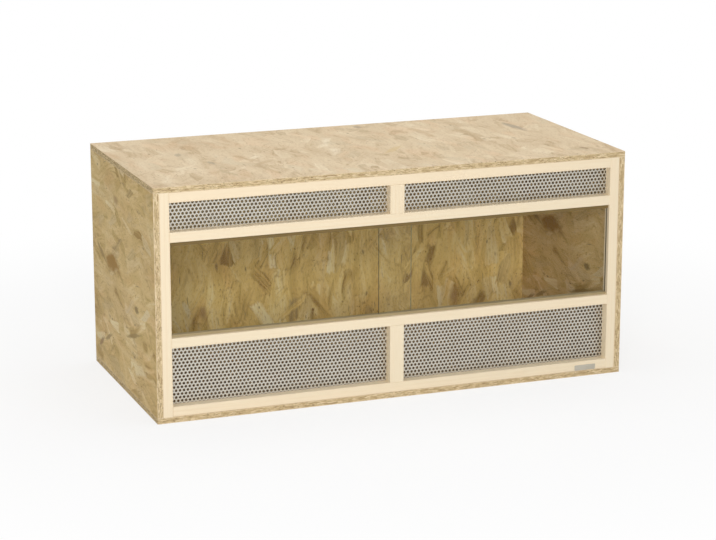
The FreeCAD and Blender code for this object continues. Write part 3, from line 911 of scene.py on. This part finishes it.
@dataclass
class Carcass:
    """The box of five strand boards and the biscuits in their joints."""

    pale: Tones = (
        (0.0, (0.46, 0.330, 0.180)),
        (0.25, (0.62, 0.475, 0.290)),
        (0.5, (0.71, 0.565, 0.370)),
        (0.75, (0.76, 0.625, 0.425)),
        (1.0, (0.82, 0.700, 0.510)),
    )
    golden: Tones = (
        (0.0, (0.38, 0.235, 0.055)),
        (0.25, (0.57, 0.400, 0.140)),
        (0.5, (0.70, 0.515, 0.222)),
        (0.75, (0.77, 0.600, 0.300)),
        (1.0, (0.84, 0.710, 0.420)),
    )
    amber: Tones = (
        (0.0, (0.38, 0.240, 0.065)),
        (0.25, (0.65, 0.455, 0.142)),
        (0.5, (0.80, 0.595, 0.212)),
        (0.75, (0.87, 0.705, 0.315)),
        (1.0, (0.91, 0.800, 0.470)),
    )
    top_marks: tuple[Mark, ...] = (
        Mark(1.0, 0.096, 0.401, 0.115, 0.022, -8.0, (0.27, 0.22, 0.16), 0.6),
        Mark(1.0, -0.173, 0.437, 0.034, 0.013, -20.0, (0.30, 0.18, 0.09), 0.7),
        Mark(1.0, 0.052, -0.365, 0.038, 0.015, 15.0, (0.34, 0.28, 0.19), 0.5),
        Mark(1.0, -0.048, -0.325, 0.040, 0.014, -10.0, (0.32, 0.26, 0.18), 0.55),
        Mark(1.0, -0.048, 0.066, 0.105, 0.020, 41.0, (0.62, 0.45, 0.21), 0.55),
        Mark(1.0, 0.207, 0.083, 0.036, 0.018, 0.0, (0.33, 0.26, 0.18), 0.6),
    )
    side_marks: tuple[Mark, ...] = (
        Mark(-1.0, 0.082, 0.252, 0.120, 0.042, -6.0, (0.33, 0.175, 0.020), 0.97),
        Mark(-1.0, 0.165, 0.256, 0.090, 0.014, 20.0, (0.30, 0.19, 0.05), 0.8),
        Mark(-1.0, -0.072, 0.136, 0.130, 0.010, -16.0, (0.32, 0.21, 0.06), 0.85),
        Mark(-1.0, -0.098, 0.196, 0.034, 0.017, 0.0, (0.24, 0.155, 0.045), 0.85),
        Mark(-1.0, 0.182, 0.058, 0.060, 0.013, -33.0, (0.28, 0.16, 0.06), 0.75),
        Mark(-1.0, 0.125, 0.082, 0.070, 0.011, -25.0, (0.30, 0.19, 0.06), 0.75),
    )

    def dress(self) -> None:
        """Gives each pair of boards its own strands, and the biscuits their beech."""
        level, upright = ("bottom_panel", "top_panel"), ("left_side_panel", "right_side_panel")
        stocks = (
            BoardStock(level, BoardLayout.FLAT, 0.75, self.pale, self.top_marks),
            BoardStock(upright, BoardLayout.SIDE, 1.0, self.golden, self.side_marks),
            BoardStock(("back_panel",), BoardLayout.BACK, 1.2, self.amber),
        )
        for seed, stock in enumerate(stocks, 1):
            axis = stock.layout.value[2]
            low, high = (corner[axis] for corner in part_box(stock.names[-1]))
            middle = sum(corner[axis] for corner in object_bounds()) / 2.0
            board = StrandBoard(
                layout=stock.layout,
                seed=float(seed),
                contrast=stock.contrast,
                tones=stock.tones,
                middle=middle,
                offset=(low + high) / 2.0 - middle,
                half=(high - low) / 2.0,
                marks=stock.marks,
            )
            give(board.make(), *stock.names)
        give(PressedBeech().make(), "panel_biscuits", "frame_dowels")


@dataclass
class FrontFrame:
    """The pine battens round the window and the vents."""

    rails: tuple[str, ...] = ("bottom_rail", "lower_middle_rail", "upper_middle_rail", "top_rail")
    uprights: tuple[str, ...] = ("left_stile", "right_stile", "lower_muntin", "upper_muntin")

    def dress(self) -> None:
        """Gives each batten its own length of pine."""
        for names, axis in ((self.rails, GrainAxis.WIDTH), (self.uprights, GrainAxis.HEIGHT)):
            for number, name in enumerate(names):
                seed = number + 1.0 + axis.value * 4.0
                give(PlanedPine(f"pine_{name}", axis, seed).make(), name)


@dataclass
class SlidingWindow:
    """The two panes and the double channels that they slide in."""

    def dress(self) -> None:
        """Gives the channels their plastic, with painted shade in the upper one's colours, and the
        panes their glass, with painted light on the rear pane's edges.
        """
        # One plastic for both channels: the upper channel's darker colours are painted shade, where
        # the rail above would shade it.
        for name, base, worn in (
            ("lower_glass_track", (0.42, 0.335, 0.19), (0.36, 0.285, 0.155)),
            ("upper_glass_track", (0.19, 0.130, 0.045), (0.16, 0.110, 0.04)),
        ):
            plastic = Smooth(
                name=f"plastic_{name}",
                base=base,
                worn=worn,
                stretch=(3.0, 500.0, 500.0),
                roughness=(0.55, 0.68),
                metallic=0.0,
                gleam=0.2,
            )
            give(plastic.make(), name)
        give(ClearPane("front_pane").make(), "right_glass_door")
        # Same glass as the front pane, with its edge colours painted lighter: painted light on
        # these edges.
        rear = ClearPane("rear_pane_lit_edges", (0.16, 0.155, 0.095), (0.26, 0.25, 0.16))
        give(rear.make(), "left_glass_door")


@dataclass(frozen=True)
class PunchedMetal:
    """Satin sheet metal, with painted shade on the rolled-in rim that a punch leaves round each
    hole and on the hole walls.

    The holes stand in staggered rows that start at the origin's upright, lift above the floor.
    """

    hole: float
    pitch: float
    row: float
    lift: float
    name: str = "vent_metal"
    base: Colour = (0.60, 0.565, 0.490)
    worn: Colour = (0.54, 0.505, 0.435)
    shaded: Colour = (0.045, 0.042, 0.040)
    shaded_rim_width: float = 0.00115

    def make(self) -> bpy.types.Material:
        """Makes the material.

        Returns:
            The material, with painted shade inside the holes and on their rims.
        """
        sheet = NodeSheet.material(self.name)
        place = sheet.place()
        across, _, height = sheet.split(place)
        _, front, _ = sheet.split(place.other("Normal"))
        period = (self.pitch, 2.0 * self.row, 1.0)
        start = sheet.join(across, height - self.lift)
        # Every second row is one plain grid, and the rows between are another.
        even, odd = (self._reach(sheet, start, shift, period) for shift in (0.5, 0.0))
        # Painted shade: the hole walls and a ring round each hole are coloured near black, as if in
        # shadow.
        outer = self.hole + self.shaded_rim_width
        rim = even.least(odd).fade(outer - self.shaded_rim_width * 0.4, outer, 1.0, 0.0)
        dull = rim.most(abs(front) < 0.5) * 0.9
        streaks, tone, gloss = sheet.satin(place, (9.0, 60.0, 700.0))
        satin = sheet.tint(tone, self.base, self.worn)
        return sheet.principled(
            Base_Color=sheet.tint(dull, satin, self.shaded),
            Metallic=0.8,
            Roughness=gloss.fade(0.3, 0.7, 0.42, 0.55),
            Normal=sheet.relief(streaks - rim * 0.5, 0.00004),
        )

    @staticmethod
    def _reach(sheet: NodeSheet, start: Signal, shift: float, period: Triple) -> Signal:
        """Measures the way to the nearest hole of every second row.

        Args:
            sheet: the node tree.
            start: the coordinates on the sheet, in metres.
            shift: 0.5 for the first row and every second one, 0.0 for the rows between.
            period: the distances after which the rows repeat.

        Returns:
            The distance to the middle of the hole, in metres.
        """
        steps = sheet.vector("ADD", sheet.vector("DIVIDE", start, period), (shift, shift, 0.0))
        arm = sheet.vector("SUBTRACT", sheet.vector("FRACTION", steps), (0.5, 0.5, 0.0))
        return sheet.length(sheet.vector("MULTIPLY", arm, period))


@dataclass
class VentSheets:
    """The perforated sheets behind the frame: round holes in staggered rows, and their staples."""

    hole: float = 0.0019
    pitch: float = 0.008
    lift: float = 0.0028
    sides: int = 12
    merge: float = 1e-5
    names: tuple[str, ...] = (
        "lower_left_grille",
        "lower_right_grille",
        "upper_left_grille",
        "upper_right_grille",
    )

    @property
    def row(self) -> float:
        """The distance from one row of holes to the next."""
        return self.pitch * math.sqrt(3.0) / 2.0

    def build(self) -> None:
        """Makes the four sheets in place of the coarse ones, and dresses the staples."""
        metal = PunchedMetal(self.hole, self.pitch, self.row, self.lift).make()
        for name in self.names:
            low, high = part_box(name)
            sheet = new_piece(f"{name}_sheet", self._sheet(low, high), metal)
            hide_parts(name)
            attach(sheet, CABINET)
        wire = Smooth(
            name="staple_wire",
            base=(0.62, 0.62, 0.63),
            worn=(0.5, 0.5, 0.51),
            stretch=(300.0, 300.0, 300.0),
            roughness=(0.3, 0.45),
            metallic=1.0,
        )
        give(wire.make(), "grille_staples")

    def _sheet(self, low: Vector, high: Vector) -> Shape:
        """Punches one sheet.

        Args:
            low: the sheet's lowest corner.
            high: its highest corner.

        Returns:
            The sheet's mesh in its place.
        """
        width, height = high.x - low.x, high.z - low.z
        two_rows = 2.0 * self.row
        shape = bmesh.new()
        self._ring(shape)
        self._repeat(shape, (self.pitch, 0.0, 0.0), math.ceil(width / self.pitch) + 2)
        second = bmesh.ops.duplicate(shape, geom=whole(shape))["geom"]
        bmesh.ops.translate(
            shape,
            vec=(self.pitch / 2.0, self.row, 0.0),
            verts=[part for part in second if isinstance(part, bmesh.types.BMVert)],
        )
        self._repeat(shape, (0.0, two_rows, 0.0), math.ceil(height / two_rows) + 2)
        bmesh.ops.remove_doubles(shape, verts=shape.verts, dist=self.merge)
        # This puts the holes of all four sheets where PunchedMetal has its rims.
        left = low.x % self.pitch + self.pitch
        under = (low.z - self.lift) % two_rows + two_rows
        bmesh.ops.translate(shape, vec=(-left, -under, 0.0), verts=shape.verts)
        for place, normal in (
            ((0.0, 0.0, 0.0), (-1.0, 0.0, 0.0)),
            ((width, 0.0, 0.0), (1.0, 0.0, 0.0)),
            ((0.0, 0.0, 0.0), (0.0, -1.0, 0.0)),
            ((0.0, height, 0.0), (0.0, 1.0, 0.0)),
        ):
            bmesh.ops.bisect_plane(
                shape,
                geom=whole(shape),
                dist=self.merge,
                plane_co=place,
                plane_no=normal,
                clear_outer=True,
            )
        bmesh.ops.recalc_face_normals(shape, faces=shape.faces)
        bmesh.ops.solidify(shape, geom=shape.faces[:], thickness=high.y - low.y)
        stand_up(shape, low.x, high.y, low.z)
        return shape

    def _ring(self, shape: Shape) -> None:
        """Makes the metal round one hole, with six sides that meet its neighbours.

        Args:
            shape: the mesh to add it to.
        """
        quarter = Matrix.Rotation(math.radians(90.0), 4, "Z")
        bmesh.ops.create_circle(shape, segments=self.sides, radius=self.hole, matrix=quarter)
        corner = self.pitch / math.sqrt(3.0)
        rim = bmesh.ops.create_circle(shape, segments=self.sides, radius=corner, matrix=quarter)
        step = 2.0 * math.pi / self.sides
        for vertex in rim["verts"]:
            # Every second point is the middle of a side, nearer to the hole than a corner.
            if round(math.atan2(vertex.co.x, vertex.co.y) / step) % 2:
                vertex.co *= math.cos(step)
        bmesh.ops.bridge_loops(shape, edges=shape.edges)

    @staticmethod
    def _repeat(shape: Shape, step: Triple, count: int) -> None:
        """Repeats the whole mesh along a line.

        Args:
            shape: the mesh.
            step: the distance from one copy to the next.
            count: how many copies are added.
        """
        bmesh.ops.spin(
            shape,
            geom=whole(shape),
            cent=(0.0, 0.0, 0.0),
            axis=(0.0, 0.0, 1.0),
            dvec=step,
            angle=0.0,
            steps=count,
            use_duplicate=True,
        )


@dataclass
class BarePlate:
    """The small plain plate near the right end of the bottom rail."""

    centre: tuple[float, float] = (0.4205, 0.0185)
    width: float = 0.047
    height: float = 0.0114
    thickness: float = 0.0004
    corner: float = 0.0022

    def build(self) -> None:
        """Makes the plate, flat on the rail's front face."""
        low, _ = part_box("bottom_rail")
        shape = bmesh.new()
        bmesh.ops.create_grid(shape, x_segments=1, y_segments=1, size=0.5)
        bmesh.ops.scale(shape, vec=(self.width, self.height, 1.0), verts=shape.verts)
        bmesh.ops.bevel(
            shape,
            geom=shape.verts[:],
            affect="VERTICES",
            offset=self.corner,
            segments=5,
            profile=0.5,
            material=-1,
        )
        bmesh.ops.solidify(shape, geom=shape.faces[:], thickness=self.thickness)
        stand_up(shape, self.centre[0], low.y, self.centre[1])
        silver = Smooth(
            name="plate_metal",
            base=(0.52, 0.485, 0.405),
            worn=(0.44, 0.410, 0.335),
            stretch=(20.0, 900.0, 900.0),
            roughness=(0.3, 0.42),
            metallic=0.7,
        )
        plate = new_piece("bare_plate", shape, silver.make())
        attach(plate, CABINET)


@dataclass(frozen=True)
class SoftLamp:
    """A square studio lamp: its place, the length of its side and its power in watts."""

    name: str
    place: Triple
    size: float
    power: float

    def hang(self, target: Triple) -> None:
        """Hangs the lamp so that it faces a point of the object.

        Args:
            target: the point.
        """
        light = bpy.data.lights.new(self.name, "AREA")
        light.shape = "SQUARE"
        light.size = self.size
        light.energy = self.power
        lamp = bpy.data.objects.new(self.name, light)
        lamp.location = self.place
        aim = Vector(target) - Vector(self.place)
        lamp.rotation_euler = aim.to_track_quat("-Z", "Y").to_euler()
        bpy.context.scene.collection.objects.link(lamp)


@dataclass
class Studio:
    """The camera, the lamps, the pale floor and the white surroundings.

    Out to a radius of fade_from, lit is the share of the floor that is plain white to the
    camera, and the rest shows its paint and its shadows. From fade_to on all of it is white.
    """

    lens: float = 116.15
    sensor: float = 36.0
    stand: Triple = (-1.660, -4.369, 1.396)
    heading: float = 20.87
    pitch: float = -14.25
    ambient: float = 0.32
    floor_half: float = 7.0
    fade_from: float = 0.6
    fade_to: float = 1.5
    lit: float = 0.76
    target: Triple = (0.0, 0.0, 0.22)
    lamps: tuple[SoftLamp, ...] = (
        SoftLamp("front_lamp", (-1.5, -4.2, 1.5), 1.8, 111.0),
        SoftLamp("top_lamp", (0.1, 0.2, 3.0), 2.6, 47.0),
    )

    def build(self) -> None:
        """Sets up everything that isn't the object."""
        self._camera()
        self._world()
        self._floor()
        for lamp in self.lamps:
            lamp.hang(self.target)
        bpy.context.scene.view_settings.view_transform = "Standard"

    def _camera(self) -> None:
        """Puts the camera where the photograph was taken from."""
        lens = bpy.data.cameras.new("camera")
        lens.lens = self.lens
        lens.sensor_width = self.sensor
        camera = bpy.data.objects.new("camera", lens)
        camera.location = self.stand
        turns = (90.0 + self.pitch, 0.0, -self.heading)
        camera.rotation_euler = tuple(math.radians(turn) for turn in turns)
        bpy.context.scene.collection.objects.link(camera)
        bpy.context.scene.camera = camera

    def _world(self) -> None:
        """Makes the surroundings white to look at and plain to light with."""
        sheet = NodeSheet(bpy.data.worlds.new("surroundings"))
        strength = self.ambient + sheet.seen() * (1.0 - self.ambient)
        sky = sheet.shader("ShaderNodeBackground", Color=WHITE, Strength=strength)
        bpy.context.scene.world = sheet.finish(sky, "ShaderNodeOutputWorld")

    def _floor(self) -> None:
        """Lays a wide pale floor that fades into the white surroundings."""
        shape = bmesh.new()
        bmesh.ops.create_grid(shape, x_segments=8, y_segments=8, size=self.floor_half)
        sheet = NodeSheet.material("pale_floor")
        place = sheet.place()
        cloud = sheet.tint(sheet.noise(place, 3.0, 2.0), (0.93, 0.93, 0.93), (0.95, 0.95, 0.95))
        paint = sheet.shader("ShaderNodeBsdfDiffuse", Color=cloud)
        seen = sheet.seen()
        white = sheet.shader("ShaderNodeEmission", Color=WHITE, Strength=seen)
        far = sheet.length(place).fade(self.fade_from, self.fade_to, self.lit, 1.0) * seen
        surface = sheet.add("ShaderNodeMixShader", inputs={0: far, 1: paint, 2: white})
        new_piece("pale_floor", shape, sheet.finish(surface))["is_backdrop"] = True


def main() -> None:
    """Builds and dresses the sub-assemblies in order."""
    logging.basicConfig(level=logging.INFO, format="%(name)s: %(message)s")
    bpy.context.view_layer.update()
    steps: tuple[tuple[str, Callable[[], None]], ...] = (
        ("studio", Studio().build),
        ("carcass", Carcass().dress),
        ("front frame", FrontFrame().dress),
        ("sliding window", SlidingWindow().dress),
        ("vent sheets", VentSheets().build),
        ("bare plate", BarePlate().build),
    )
    for title, step in steps:
        step()
        LOG.info("finished the %s", title)


if __name__ == "__main__":
    main()
